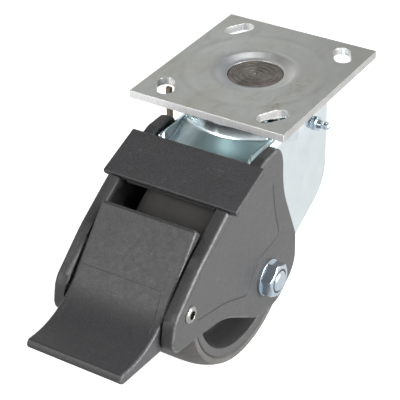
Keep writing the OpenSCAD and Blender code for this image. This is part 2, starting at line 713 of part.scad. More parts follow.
module pivot_pin() {
    color(bright_zinc) difference() {
        union() {
            rod_x(-cheek_outer - 0.4, cheek_outer + 0.4, pin_r, pin_y, pin_z);
            both_sides() translate([cheek_outer, pin_y, pin_z]) rotate([0, 90, 0]) rotate_extrude()
                polygon([[0, 0], [pin_head_diameter / 2, 0], [pin_head_diameter / 2 - 0.3, 0.9],
                         [pin_head_diameter / 2 - 1.3, 1.5], [pin_bore / 2 + 0.6, 1.7], [0, 1.7]]);
        }
        rod_x(-cheek_outer - 3, cheek_outer + 3, pin_bore / 2, pin_y, pin_z);
    }
}

top_plate();
kingpin();
upper_balls();
fork();
lower_balls();
lower_race();
kingpin_nut();
grease_nipple();
stop_finger();
wheel_core();
tyre();
axle_sleeve();
roller_cage();
bearing_rollers();
thrust_washers();
axle_bolt();
axle_washers();
axle_nut();
left_cheek();
right_cheek();
bridge();
pedal();
pivot_pin();
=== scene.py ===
# %% [markdown]
# # A swivel castor with a foot brake
# The castor has a zinc-plated steel plate, drum and fork, a wheel, and a black nylon brake housing
# whose pedal presses a shoe on the tread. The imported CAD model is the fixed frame, and each step below
# gives one piece its surface or its finish. Blender works in metres. Profiles and points are written
# in millimetres, and MM turns them into metres.

import json
import math

import bmesh
import bpy
import numpy as np
from mathutils import Matrix, Vector
from mathutils.bvhtree import BVHTree

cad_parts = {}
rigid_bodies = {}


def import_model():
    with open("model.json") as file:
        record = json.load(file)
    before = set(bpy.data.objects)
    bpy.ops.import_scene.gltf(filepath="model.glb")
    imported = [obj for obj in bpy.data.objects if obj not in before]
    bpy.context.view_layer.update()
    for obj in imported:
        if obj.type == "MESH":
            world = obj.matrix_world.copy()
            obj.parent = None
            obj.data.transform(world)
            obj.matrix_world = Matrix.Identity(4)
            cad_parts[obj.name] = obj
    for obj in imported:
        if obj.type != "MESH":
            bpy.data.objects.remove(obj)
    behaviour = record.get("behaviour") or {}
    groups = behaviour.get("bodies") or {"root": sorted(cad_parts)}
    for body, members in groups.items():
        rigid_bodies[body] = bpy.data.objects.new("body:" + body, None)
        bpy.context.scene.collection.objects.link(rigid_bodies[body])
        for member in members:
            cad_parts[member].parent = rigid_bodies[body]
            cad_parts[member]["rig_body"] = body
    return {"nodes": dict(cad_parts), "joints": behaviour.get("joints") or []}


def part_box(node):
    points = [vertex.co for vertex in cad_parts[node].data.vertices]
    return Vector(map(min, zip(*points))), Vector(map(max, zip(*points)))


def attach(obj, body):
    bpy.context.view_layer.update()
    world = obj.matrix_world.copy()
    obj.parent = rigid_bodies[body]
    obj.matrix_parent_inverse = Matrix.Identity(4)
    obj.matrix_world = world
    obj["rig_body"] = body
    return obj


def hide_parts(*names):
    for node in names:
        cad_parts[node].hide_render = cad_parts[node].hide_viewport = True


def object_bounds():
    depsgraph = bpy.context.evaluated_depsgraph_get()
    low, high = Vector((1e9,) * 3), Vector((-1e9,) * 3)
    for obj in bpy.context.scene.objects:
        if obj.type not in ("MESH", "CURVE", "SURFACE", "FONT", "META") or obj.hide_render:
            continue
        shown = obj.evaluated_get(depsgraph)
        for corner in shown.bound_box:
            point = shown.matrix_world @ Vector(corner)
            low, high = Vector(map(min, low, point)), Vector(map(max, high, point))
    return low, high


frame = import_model()
nodes = frame["nodes"]
cad_low, cad_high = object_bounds()
MM = 0.001
print("nodes:", len(nodes), "box in mm:", [round(v / MM, 1) for v in (cad_high - cad_low)])

# %% [markdown]
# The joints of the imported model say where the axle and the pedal's pin are, in millimetres here.

# %% Places to work from
joints = {j["name"]: j for j in frame["joints"]}
axle = np.array(joints["wheel_spin"]["pos_m"]) / MM
pin = np.array(joints["pedal_press"]["pos_m"]) / MM
floor_z = cad_low.z
print("axle:", axle.round(2), "pin:", pin.round(2), "floor:", round(floor_z / MM, 1))

# %% [markdown]
# ## Camera
# The photograph was taken with a long lens, from the right, the pedal's side and above. The view's
# three directions are worked out from its azimuth, elevation and roll, and become the camera's axes.

# %% Camera
azimuth, elevation, roll = (math.radians(a) for a in (32.67, 33.40, -1.34))
target = Vector((-3.8, -57.81, -60)) * MM
distance = 0.83857
focal_px, photo_px, sensor_mm = 1433.35, 400, 36

back = Vector((math.sin(azimuth) * math.cos(elevation), -math.cos(azimuth) * math.cos(elevation),
               math.sin(elevation)))
level = back.cross(Vector((0, 0, -1))).normalized()
rise = back.cross(level)
right = level * math.cos(roll) + rise * math.sin(roll)
up = rise * math.cos(roll) - level * math.sin(roll)
camera = bpy.data.objects.new("camera", bpy.data.cameras.new("camera"))
camera.data.lens = focal_px * sensor_mm / photo_px
camera.data.sensor_width = sensor_mm
camera.data.clip_start = 0.05
axes = Matrix((right, up, back)).transposed()
camera.matrix_world = Matrix.Translation(target + back * distance) @ axes.to_4x4()
bpy.context.scene.collection.objects.link(camera)
bpy.context.scene.camera = camera
print("camera at", [round(v, 3) for v in camera.matrix_world.translation], "lens", round(camera.data.lens, 1))

# %% [markdown]
# ## Small tools for finishes
# A finish is a Principled shader whose colour, roughness and bump come from noise on Object
# coordinates, which are metres here: a noise scale of 1000 has grains about a millimetre across.

# %% Node helpers
def new_finish(name, metallic=0.0):
    """Makes a material and returns it with its node tree, its shader and the Object coordinates."""
    finish = bpy.data.materials.new(name)
    finish.use_nodes = True
    tree = finish.node_tree
    shader = tree.nodes["Principled BSDF"]
    shader.inputs["Metallic"].default_value = metallic
    shader.inputs["IOR"].default_value = 1.5
    place = tree.nodes.new("ShaderNodeTexCoord").outputs["Object"]
    return finish, tree, shader, place


def stretched(tree, place, scale):
    """The coordinates times a scale of its own along X, Y and Z."""
    node = tree.nodes.new("ShaderNodeMapping")
    node.inputs["Scale"].default_value = scale
    tree.links.new(place, node.inputs["Vector"])
    return node.outputs["Vector"]


def noise(tree, place, scale, detail=3.0, rough=0.5):
    """Smooth noise between 0 and 1."""
    node = tree.nodes.new("ShaderNodeTexNoise")
    node.inputs["Scale"].default_value = scale
    node.inputs["Detail"].default_value = detail
    node.inputs["Roughness"].default_value = rough
    tree.links.new(place, node.inputs["Vector"])
    return node.outputs["Fac"]


def spread(tree, value, low, high, to_low=0.0, to_high=1.0):
    """Maps low..high of a value to to_low..to_high, and clamps it there."""
    node = tree.nodes.new("ShaderNodeMapRange")
    for key, number in (("From Min", low), ("From Max", high), ("To Min", to_low), ("To Max", to_high)):
        node.inputs[key].default_value = number
    tree.links.new(value, node.inputs["Value"])
    return node.outputs["Result"]


def mixed(tree, share, a, b):
    """The colour a where share is 0 and b where it is 1. Either may be a colour or another output."""
    node = tree.nodes.new("ShaderNodeMix")
    node.data_type = "RGBA"
    tree.links.new(share, node.inputs["Factor"])
    for socket, colour in ((node.inputs[6], a), (node.inputs[7], b)):
        if isinstance(colour, tuple):
            socket.default_value = (*colour, 1)
        else:
            tree.links.new(colour, socket)
    return node.outputs[2]


def math_node(tree, kind, a, b=None):
    """One arithmetic step between outputs and numbers."""
    node = tree.nodes.new("ShaderNodeMath")
    node.operation = kind
    for socket, value in zip(node.inputs, (a, b)):
        if isinstance(value, (int, float)):
            socket.default_value = value
        elif value is not None:
            tree.links.new(value, socket)
    return node.outputs[0]


def times(tree, a, b):
    return math_node(tree, "MULTIPLY", a, b)


def absolute(tree, value):
    return math_node(tree, "ABSOLUTE", value)


def off(tree, value, middle):
    """How far a value is from the middle, whichever way."""
    return absolute(tree, math_node(tree, "SUBTRACT", value, middle))


def radius_of(tree, a, b):
    """The distance from the line where a and b are both 0."""
    return math_node(tree, "SQRT", math_node(tree, "ADD", times(tree, a, a), times(tree, b, b)))


def bumped(tree, shader, height, strength, distance, under=None):
    """Lays a height of 0 to 1, times distance in metres, over the surface or over an earlier bump."""
    node = tree.nodes.new("ShaderNodeBump")
    node.inputs["Strength"].default_value = strength
    node.inputs["Distance"].default_value = distance
    tree.links.new(height, node.inputs["Height"])
    if under is not None:
        tree.links.new(under, node.inputs["Normal"])
    tree.links.new(node.outputs["Normal"], shader.inputs["Normal"])
    return node.outputs["Normal"]


def axes_of(tree, place):
    """The X, Y and Z of a place or a direction."""
    split = tree.nodes.new("ShaderNodeSeparateXYZ")
    tree.links.new(place, split.inputs["Vector"])
    return split.outputs


def face_direction(tree):
    """The X, Y and Z of the surface's own normal."""
    return axes_of(tree, tree.nodes.new("ShaderNodeNewGeometry").outputs["Normal"])


def colour_by(tree, shader, colour):
    tree.links.new(colour, shader.inputs["Base Color"])


print("node helpers ready")

# %% [markdown]
# ## Black nylon
# The brake housing, pedal and wheel core are glass-filled nylon. The glass leaves a fine leathery grain
# and a patchy sheen, and handling leaves pale specks and hairline scratches. Slow noise moves the
# colour and the roughness, fine noise is the grain, and a sharp threshold on stretched noise leaves
# the scratches. On the worn pieces, faces to the front are darkened as painted shade, and the rounded
# edges are pale with wear and a painted highlight.

# %% Nylon
# The pale colour is edge wear with a painted highlight; the front and recess colours are painted shade.
WEAR_AND_HIGHLIGHT_PALE, FRONT_PAINTED_SHADE, RECESS_PAINTED_SHADE = (0.17, 0.17, 0.17), (0.020, 0.020, 0.021), (0.012, 0.012, 0.012)


def nylon(name, dark, pale, sheen_low, sheen_high, speck=0.6, shade=None, wear_and_highlight=None):
    """A nylon between two colours and two roughnesses. Speck is the strength of its scratches, shade
    gives the share of painted shade at a place, and the last argument gives the share of pale wear with a
    painted highlight at a place; when it is given, faces to the front also get painted shade."""
    finish, tree, shader, place = new_finish(name)
    colour = mixed(tree, spread(tree, noise(tree, place, 55, 5, 0.6), 0.35, 0.68), dark, pale)
    grit = spread(tree, noise(tree, place, 1300, 4, 0.7), 0.36, 0.64)
    grit_dark, grit_pale = tuple(v * 0.72 for v in dark), tuple(v * 1.18 for v in pale)
    colour = mixed(tree, grit, grit_dark, mixed(tree, grit, colour, grit_pale))

    upright_scratch = spread(tree, noise(tree, stretched(tree, place, (900, 60, 700)), 1, 2, 0.6), 0.66, 0.74)
    cross_scratch = spread(tree, noise(tree, stretched(tree, place, (90, 1100, 900)), 1, 2, 0.6), 0.67, 0.75)
    dots = spread(tree, noise(tree, place, 1500, 2, 0.5), 0.68, 0.76)
    marks = math_node(tree, "MAXIMUM", math_node(tree, "MAXIMUM", upright_scratch, cross_scratch), dots)
    marks = times(tree, marks, spread(tree, noise(tree, place, 80, 3), 0.45, 0.7, 0.05, speck))
    colour = mixed(tree, marks, colour, tuple(min(1, v * 2.6 + 0.03) for v in pale))
    if wear_and_highlight:
        # Painted shade: faces turned to the front are darker.
        front = spread(tree, absolute(tree, face_direction(tree)[0]), 0.2, 0.5, 0.3, 0.0)
        colour = mixed(tree, front, colour, FRONT_PAINTED_SHADE)
        # Pale wear with a painted highlight on the rounded edges.
        colour = mixed(tree, wear_and_highlight(tree, place), colour, WEAR_AND_HIGHLIGHT_PALE)
    if shade:
        # Painted shade, in the share that the shade argument gives.
        colour = mixed(tree, shade(tree, place), colour, RECESS_PAINTED_SHADE)
    colour_by(tree, shader, colour)

    patch = noise(tree, place, 340, 5, 0.7)
    tree.links.new(spread(tree, patch, 0.3, 0.7, sheen_low, sheen_high), shader.inputs["Roughness"])
    leather = bumped(tree, shader, noise(tree, place, 700, 4, 0.65), 0.14, 0.0004)
    bumped(tree, shader, noise(tree, place, 2600, 3, 0.6), 0.12, 0.0003, leather)
    return finish


def recess_painted_shade(tree, place):
    """Painted shade: darker nylon inside the wheel's recess, whose wall is about 49 mm from the axle."""
    _, y, z = axes_of(tree, place)
    away = radius_of(tree, math_node(tree, "SUBTRACT", y, axle[1] * MM), math_node(tree, "SUBTRACT", z, axle[2] * MM))
    return spread(tree, away, 0.0485, 0.0498, 0.6, 0.0)


def near_side(tree, place, node, edge):
    """1 where a place is within edge (from, to) in metres of the node's left or right end."""
    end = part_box(node)[1].x
    return spread(tree, absolute(tree, axes_of(tree, place)[0]), end - edge[0], end - edge[1])


def rim_wear_and_highlight(tree, place):
    """Pale wear and a painted highlight on the rounded edge of a cheek's outer face."""
    facing = absolute(tree, face_direction(tree)[0])
    turn = times(tree, spread(tree, facing, 0.3, 0.5), spread(tree, facing, 0.85, 0.97, 1.0, 0.0))
    broken = spread(tree, noise(tree, place, 260, 4, 0.7), 0.4, 0.6, 0.1, 0.6)
    return times(tree, times(tree, near_side(tree, place, "right_cheek", (0.0016, 0.0008)), turn), broken)


def side_wear_and_highlight(tree, place):
    """Pale, broken wear and a painted highlight along both side edges of the pedal."""
    facing = absolute(tree, face_direction(tree)[0])
    near = times(tree, near_side(tree, place, "pedal", (0.0016, 0.0006)), spread(tree, facing, 0.85, 0.97, 1.0, 0.0))
    return times(tree, near, spread(tree, noise(tree, place, 700, 5, 0.75), 0.5, 0.62, 0.05, 0.8))


housing_nylon = nylon("housing_nylon", (0.044, 0.044, 0.045), (0.056, 0.056, 0.057), 0.42, 0.56, wear_and_highlight=rim_wear_and_highlight)
pedal_nylon = nylon("pedal_nylon", (0.040, 0.040, 0.043), (0.054, 0.054, 0.057), 0.38, 0.55, 0.9, wear_and_highlight=side_wear_and_highlight)
# Painted shade: a darker copy of the same nylon, for the bridge, the bar under it and the mould line.
shaded_nylon = nylon("shaded_nylon", (0.034, 0.034, 0.036), (0.052, 0.052, 0.055), 0.46, 0.62, 0.9)
core_nylon = nylon("core_nylon", (0.052, 0.052, 0.053), (0.064, 0.064, 0.065), 0.42, 0.52, 0.3, shade=recess_painted_shade)
# Painted shade: near-black nylon for the strips in the cheeks' grooves.
groove_painted_shade = nylon("groove_painted_shade", (0.012, 0.012, 0.012), (0.018, 0.018, 0.018), 0.6, 0.7, 0.1)
print("nylon finishes:", 5)

# %% [markdown]
# ## Tread rubber
# The tread is a dull, slightly brown rubber. Its colour hardly changes, and a fine bump breaks its
# sheen.

# %% Rubber
tread_rubber, tree, shader, place = new_finish("tread_rubber")
dust = spread(tree, noise(tree, place, 70, 4), 0.35, 0.7)
colour_by(tree, shader, mixed(tree, dust, (0.074, 0.072, 0.068), (0.098, 0.095, 0.090)))
tree.links.new(spread(tree, noise(tree, place, 300, 3), 0.3, 0.7, 0.5, 0.68), shader.inputs["Roughness"])
bumped(tree, shader, noise(tree, place, 1800, 3), 0.15, 0.0003)
print("tread rubber ready")

# %% [markdown]
# ## Zinc plating
# Zinc plating is cloudy: it is grey-olive in places and bluish in others, and dull where it was
# handled.

# %% Zinc
def zinc(name, warm, cool, rough_low, rough_high, smear=0.0, ripple=0.12):
    """The start of a plated finish between two colours and two roughnesses, with its colour not yet
    linked. Smear is the share of darker patches, and ripple the strength of the waves in the surface."""
    finish, tree, shader, place = new_finish(name, 1.0)
    colour = mixed(tree, spread(tree, noise(tree, place, 28, 6, 0.62), 0.35, 0.65), warm, cool)
    if smear:
        patches = spread(tree, noise(tree, stretched(tree, place, (90, 40, 90)), 1, 6, 0.7), 0.5, 0.75, 0.0, smear)
        colour = mixed(tree, patches, colour, tuple(v * 0.62 for v in warm))
    handled = noise(tree, place, 90, 5, 0.65)
    tree.links.new(spread(tree, handled, 0.3, 0.7, rough_low, rough_high), shader.inputs["Roughness"])
    waves = bumped(tree, shader, noise(tree, place, 120, 3), ripple, 0.0008)
    bumped(tree, shader, noise(tree, stretched(tree, place, (2400, 700, 900)), 1, 2), 0.4 * ripple, 0.0003, waves)
    return finish, tree, shader, place, colour


def plain_zinc(*looks, **more_looks):
    """A plated finish with nothing more than zinc gives it."""
    finish, tree, shader, _, colour = zinc(*looks, **more_looks)
    colour_by(tree, shader, colour)
    return finish


nut_zinc = plain_zinc("nut_zinc", (0.70, 0.74, 0.78), (0.52, 0.64, 0.74), 0.16, 0.26, ripple=0.03)
pin_nickel = plain_zinc("pin_nickel", (0.38, 0.37, 0.35), (0.46, 0.45, 0.43), 0.24, 0.34, ripple=0.04)
yellow_zinc = plain_zinc("yellow_zinc", (0.17, 0.13, 0.09), (0.26, 0.23, 0.18), 0.28, 0.42, ripple=0.04)
bearing_steel = plain_zinc("bearing_steel", (0.56, 0.56, 0.57), (0.66, 0.66, 0.67), 0.12, 0.2)
# Painted shade: a dark metal for the ring in the nut's mouth.
painted_shade_steel = plain_zinc("painted_shade_steel", (0.06, 0.065, 0.07), (0.10, 0.11, 0.12), 0.3, 0.4, ripple=0.03)

fork_zinc, tree, shader, place, colour = zinc("fork_zinc", (0.76, 0.84, 0.87), (0.86, 0.93, 0.95), 0.20, 0.28,
                                              ripple=0.02)
# Painted reflection and shade: faces that look up take a darker teal.
upward_painted_reflection = spread(tree, face_direction(tree)[2], 0.2, 0.75, 0.0, 0.8)
colour_by(tree, shader, mixed(tree, upward_painted_reflection, colour, (0.56, 0.71, 0.76)))
print("zinc and steel finishes:", 6)

# %% [markdown]
# The plate's upper face has three faint rings over the race, pressed from below, painted as dark and
# light bands: painted shade and highlight for their shallow relief. It has a dish round the kingpin.
# Rightward is to the right as seen by the camera, where the face gets darker and the dish lighter, both
# painted shade and highlight. Two brown stains lie beside the kingpin. The edges were sheared, so they
# are bright, with fine upright tears.

# %% Zinc of the plate
RINGS = ((0.0435, 0.0028, 0.45, (0.36, 0.37, 0.35)), (0.0390, 0.0035, 0.35, (0.66, 0.68, 0.66)),
         (0.0262, 0.0030, 0.30, (0.40, 0.42, 0.43)))
STAINS = ((0.033, -0.004, 0.020), (0.030, -0.031, 0.016))
plate_zinc, tree, shader, place, colour = zinc("plate_zinc", (0.50, 0.50, 0.455), (0.56, 0.585, 0.575), 0.34, 0.46,
                                               smear=0.5)
x, y, z = axes_of(tree, place)
radius = radius_of(tree, x, y)
patchy = spread(tree, noise(tree, place, 40, 4), 0.32, 0.62)
# Painted shade and highlight: dark and light bands stand in for the pressed rings' relief.
for ring_r, width, share, tone in RINGS:
    ring = spread(tree, off(tree, radius, ring_r), 0.0, width, share, 0.0)
    colour = mixed(tree, times(tree, ring, patchy), colour, tone)
# Painted shade: the face gets darker towards the right.
rightward = math_node(tree, "ADD", times(tree, x, 0.84), times(tree, y, 0.54))
colour = mixed(tree, spread(tree, rightward, 0.0, 0.06, 0.0, 0.7), colour, (0.37, 0.375, 0.355))
# Painted shade and highlight: the dish is darker on its left and lighter on its right.
dish = spread(tree, radius, 0.0235, 0.0275, 0.75, 0.0)
dish_shade_and_highlight = mixed(tree, spread(tree, rightward, -0.016, 0.016), (0.37, 0.385, 0.41), (0.64, 0.65, 0.64))
colour = mixed(tree, dish, colour, dish_shade_and_highlight)
for stain_x, stain_y, reach in STAINS:
    away = math_node(tree, "ADD", off(tree, x, stain_x), off(tree, y, stain_y))
    blotches = spread(tree, noise(tree, place, 200, 6, 0.7), 0.48, 0.7, 0.0, 0.75)
    colour = mixed(tree, times(tree, spread(tree, away, 0.004, reach, 1.0, 0.0), blotches), colour, (0.33, 0.26, 0.19))

# Sheared edges: a burnished band on top, torn steel under it, and painted shade on the edges facing left and right
_, endwise, upright = face_direction(tree)
edge = spread(tree, absolute(tree, upright), 0.35, 0.6, 1.0, 0.0)
tears = noise(tree, stretched(tree, place, (2600, 2600, 260)), 1, 3, 0.65)
torn = mixed(tree, spread(tree, tears, 0.35, 0.62), (0.84, 0.84, 0.83), (0.98, 0.98, 0.98))
sheared = mixed(tree, spread(tree, z, -0.0016, -0.0010), torn, (0.96, 0.96, 0.96))
sheared = mixed(tree, spread(tree, absolute(tree, endwise), 0.3, 0.7), (0.52, 0.52, 0.51), sheared)
colour_by(tree, shader, mixed(tree, edge, colour, sheared))
print("plate finish with", len(RINGS), "rings and", len(STAINS), "stains")

# %% [markdown]
# ## Turned steel
# The kingpin's head is bare steel with fine rings from the lathe. A wave texture in rings round the
# swivel axis gives those, and slow noise lets them fade here and there.

# %% Turned steel
turned_steel, tree, shader, place = new_finish("turned_steel", 1.0)
wave = tree.nodes.new("ShaderNodeTexWave")
wave.wave_type, wave.rings_direction = "RINGS", "Z"
wave.inputs["Scale"].default_value = 260
wave.inputs["Distortion"].default_value = 0.6
wave.inputs["Detail"].default_value = 3
tree.links.new(place, wave.inputs["Vector"])
fade = spread(tree, noise(tree, place, 160, 4), 0.35, 0.65)
colour_by(tree, shader, mixed(tree, fade, (0.150, 0.132, 0.118), (0.24, 0.22, 0.20)))
tree.links.new(spread(tree, wave.outputs["Fac"], 0.0, 1.0, 0.3, 0.48), shader.inputs["Roughness"])
bumped(tree, shader, wave.outputs["Fac"], 0.25, 0.0002)
print("turned steel ready")

# %% [markdown]
# ## Pieces that start from the CAD solid
# A pressed, sheared or moulded piece already has its true shape in the CAD model, but no real edge is
# knife sharp. Each node's copy is merged. Where the edges are sheared or machined, the flat triangles
# are joined and a Bevel modifier rounds the edges by the width in the table, in millimetres. Weighted
# normals keep the wide faces flat, and edges over the table's angle in degrees stay sharp.

# %% Soft-edged copies
MERGE_M = 2e-6


def linked(name, data):
    """A new object of a mesh or a lamp, in the scene."""
    item = bpy.data.objects.new(name, data)
    bpy.context.scene.collection.objects.link(item)
    return item


def dressed(node, finish, edge_mm, angle):
    """A merged copy of a node, with rounded edges where edge_mm is over 0, which stands for it."""
    copy = nodes[node].data.copy()
    form = bmesh.new()
    form.from_mesh(copy)
    bmesh.ops.remove_doubles(form, verts=form.verts, dist=MERGE_M)
    if edge_mm:
        bmesh.ops.dissolve_limit(form, angle_limit=math.radians(0.6), verts=form.verts, edges=form.edges)
    form.to_mesh(copy)
    form.free()
    copy.shade_smooth()
    copy.set_sharp_from_angle(angle=math.radians(angle))
    piece = linked(node + "_dressed", copy)
    if edge_mm:
        bevel = piece.modifiers.new("soft_edges", "BEVEL")
        bevel.width = edge_mm * MM
        bevel.segments = 2
        bevel.limit_method = "ANGLE"
        bevel.angle_limit = math.radians(angle)
        bevel.use_clamp_overlap = True
    flat = piece.modifiers.new("flat_faces", "WEIGHTED_NORMAL")
    flat.keep_sharp = True
    return settled(piece, finish, node)


def settled(piece, finish, node):
    """Gives a piece its finish and its body, and lets it stand for its node."""
    piece.data.materials.clear()
    piece.data.materials.append(finish)
    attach(piece, nodes[node]["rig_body"])
    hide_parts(node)
    return piece


for name, finish, edge_mm, angle in (
        ("top_plate", plate_zinc, 0.35, 30), ("fork", fork_zinc, 0, 30), ("left_cheek", housing_nylon, 0, 35),
        ("right_cheek", housing_nylon, 0, 35), ("bridge", shaded_nylon, 0, 35), ("pedal", pedal_nylon, 0, 35),
        ("stop_finger", yellow_zinc, 0.3, 30), ("kingpin_nut", fork_zinc, 0.4, 30),
        ("axle_bolt", nut_zinc, 0.25, 30), ("axle_nut", nut_zinc, 0.25, 30), ("axle_washers", nut_zinc, 0.2, 30),
        ("upper_balls", bearing_steel, 0, 30), ("lower_balls", bearing_steel, 0, 30),
        ("lower_race", fork_zinc, 0, 30), ("axle_sleeve", bearing_steel, 0, 30),
        ("roller_cage", yellow_zinc, 0, 30), ("bearing_rollers", bearing_steel, 0, 30),
        ("thrust_washers", fork_zinc, 0, 30)):
    dressed(name, finish, edge_mm, angle)

# %% [markdown]
# ## Turned pieces
# The tyre, the wheel's core, the kingpin, the pedal's pin and the mouth of the nut are round. Each is a
# profile of radius and height carried round its line. The corners of most profiles are arcs, so they
# catch the light; the kingpin's profile has a chamfer instead.

# %% A rounded profile and a turned solid
ARC_STEPS = 6


def rounded(points, radius, steps=ARC_STEPS):
    """A closed line of [radius, height] points whose corners are arcs: each corner is cut back along
    both sides and the arc between follows a quadratic curve through the corner's pull."""
    points = np.asarray(points, float)
    before = np.roll(points, 1, 0) - points
    after = np.roll(points, -1, 0) - points
    reach = np.minimum(radius, 0.45 * np.minimum(np.linalg.norm(before, axis=1), np.linalg.norm(after, axis=1)))
    start = points + before / np.linalg.norm(before, axis=1)[:, None] * reach[:, None]
    end = points + after / np.linalg.norm(after, axis=1)[:, None] * reach[:, None]
    t = np.linspace(0, 1, steps)[None, :, None]
    arc = (1 - t) ** 2 * start[:, None] + 2 * t * (1 - t) * points[:, None] + t**2 * end[:, None]
    return arc.reshape(-1, 2)


def skinned(name, points, faces, sharp_angle):
    """An object of points in mm and faces, merged where points meet, with its faces turned outwards."""
    mesh = bpy.data.meshes.new(name)
    mesh.from_pydata((np.reshape(points, (-1, 3)) * MM).tolist(), [], faces)
    form = bmesh.new()
    form.from_mesh(mesh)
    bmesh.ops.remove_doubles(form, verts=form.verts, dist=1e-6)
    bmesh.ops.recalc_face_normals(form, faces=form.faces)
    form.to_mesh(mesh)
    form.free()
    mesh.shade_smooth()
    mesh.set_sharp_from_angle(angle=math.radians(sharp_angle))
    return linked(name, mesh)


def net(rows, columns, closed):
    """The four-sided faces between rows of points that are closed round their columns. The last row
    joins the first where closed is set."""
    row, column = np.meshgrid(np.arange(rows if closed else rows - 1), np.arange(columns), indexing="ij")
    next_row, next_column = (row + 1) % rows, (column + 1) % columns
    faces = np.stack([row * columns + column, row * columns + next_column,
                      next_row * columns + next_column, next_row * columns + column], -1)
    return faces.reshape(-1, 4).tolist()


def turned(name, profile, turns, frame_axes=np.eye(3), centre=(0, 0, 0)):
    """A closed profile carried round a line. A point (radius, height) at the angle a lies at
    centre + radius * (cos a * first + sin a * second) + height * line, and frame_axes are those three
    directions."""
    first, second, line = np.array(frame_axes, float)
    angle = np.linspace(0, 2 * np.pi, turns, endpoint=False)
    radius, height = np.asarray(profile, float).T
    spokes = np.cos(angle)[:, None] * first + np.sin(angle)[:, None] * second
    points = np.asarray(centre) + radius[:, None, None] * spokes + height[:, None, None] * line
    return skinned(name, points, net(len(radius), turns, closed=True), 40)


across = np.array([[0, 1, 0], [0, 0, 1], [1, 0, 0]])
on_axle, on_pin = [0, axle[1], axle[2]], [0, pin[1], pin[2]]
print("turning tools ready")

# %% [markdown]
# ## Wheel
# The tyre is moulded on a nylon core. Its tread is crowned: the drop from the middle grows with the
# 3.5th power of the distance, so the middle is nearly flat and the edges are round.

# %% Tyre
ROUND_SIDES = 256
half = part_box("tyre")[1].x / MM
tread_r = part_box("tyre")[1].z / MM - axle[2]
core_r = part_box("wheel_core")[1].z / MM - axle[2]
crown, inset = 4.3, 0.1
share = np.linspace(1, -1, 41)
tread = np.stack([tread_r - crown * np.abs(share) ** 3.5, (half - inset) * share], 1)
flank_corners = [[core_r, half - 1.4], [core_r + 0.7, half - inset], [tread_r - crown - 0.6, half]]
flank = rounded(flank_corners + [[0, 0]], 0.5)[:-ARC_STEPS]
profile = np.concatenate([flank, tread, flank[::-1] * [1, -1]])
settled(turned("tyre_turned", profile, ROUND_SIDES, across, on_axle), tread_rubber, "tyre")
print("tyre radius", round(tread_r, 2), "points round", ROUND_SIDES, "profile", len(profile))

# %% [markdown]
# The core has a broad flat ring at its rim, a deep recess, a web and a hub, and its corners are
# rounded.

# %% Core
recess_r = core_r - 5.6
bore_r, hub_r, hub_half = 14.4, 19.5, 27.3
web_half = 5
side = [[bore_r, hub_half], [hub_r, hub_half], [hub_r + 1, web_half + 2], [hub_r + 3, web_half],
        [recess_r - 5, web_half], [recess_r - 3, web_half + 2], [recess_r, half - 1],
        [core_r - 0.8, half - 0.4], [core_r, half - 1.4]]
loop = side + [[r, -h] for r, h in side[::-1]]
settled(turned("core_turned", rounded(loop, 0.9), ROUND_SIDES, across, on_axle), core_nylon, "wheel_core")
print("core radius", round(core_r, 2), "recess", round(recess_r, 2))

# %% [markdown]
# ## Kingpin
# The head lies just under the plate's face. It has a turned centre mark and four shallow grooves, and
# each groove is a small bell-shaped dip in the profile.

# %% Kingpin
head_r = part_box("kingpin")[1].x / MM
top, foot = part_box("kingpin")[1].z / MM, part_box("kingpin")[0].z / MM
head_tall, shank_r, tip_r, chamfer, inner_r = 4.4, 9.5, 8.5, 0.5, 0.05
groove_radii, groove_deep, groove_wide = (4.6, 8.2, 11.6, 14.4), 0.28, 0.55
mark_r, mark_deep = 2.3, 0.9
r = np.linspace(inner_r, head_r - chamfer, 90)
dips = sum(groove_deep * np.exp(-(((r - groove) / groove_wide) ** 2)) for groove in groove_radii)
dips = dips + mark_deep * np.clip(1 - r / mark_r, 0, 1)
face = np.stack([r, top - dips], 1)
rest = [[head_r, top - chamfer], [head_r, top - head_tall], [shank_r, top - head_tall], [shank_r, foot + 1],
        [tip_r, foot], [inner_r, foot]]
settled(turned("kingpin_turned", np.concatenate([face, rest]), 160), turned_steel, "kingpin")
print("kingpin head", round(head_r, 2), "top", round(top, 2))

# %% [markdown]
# ## Pedal pin
# The pin is a tube whose ends are rolled over into round heads, with a dark bore.

# %% Pin
pin_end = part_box("pivot_pin")[1].x / MM
bead_r, tube_r, hole_r, bead_wide = 5.2, 4.0, 2.5, 1.7
bead = [[hole_r, pin_end - 0.1], [hole_r + 0.4, pin_end], [bead_r - 1.2, pin_end - 0.2],
        [bead_r - 0.3, pin_end - 0.8], [bead_r, pin_end - bead_wide], [tube_r, pin_end - bead_wide]]
loop = bead + [[tube_r, 0]] + [[r, -h] for r, h in bead[::-1]] + [[hole_r, 0]]
settled(turned("pin_turned", rounded(loop, 0.4), 96, across, on_pin), pin_nickel, "pivot_pin")
print("pin reaches", round(pin_end, 2))

# %% [markdown]
# ## Lines and the bar under the bridge
# The pedal's tread plate shows the faint edge of an insert of its mould. The edge is a hair-thin
# raised line, laid on the plate by rays that fall on it. Under the bridge's front edge hangs a bar.

# %% Mould line
def on_surface(node, points, way):
    """The places in mm where rays along way, from points above the node, meet its surface."""
    mesh = nodes[node].data
    skin = BVHTree.FromPolygons([v.co for v in mesh.vertices], [f.vertices[:] for f in mesh.polygons])
    return np.array([np.array(skin.ray_cast(Vector(p) * MM, Vector(way))[0]) / MM for p in points])


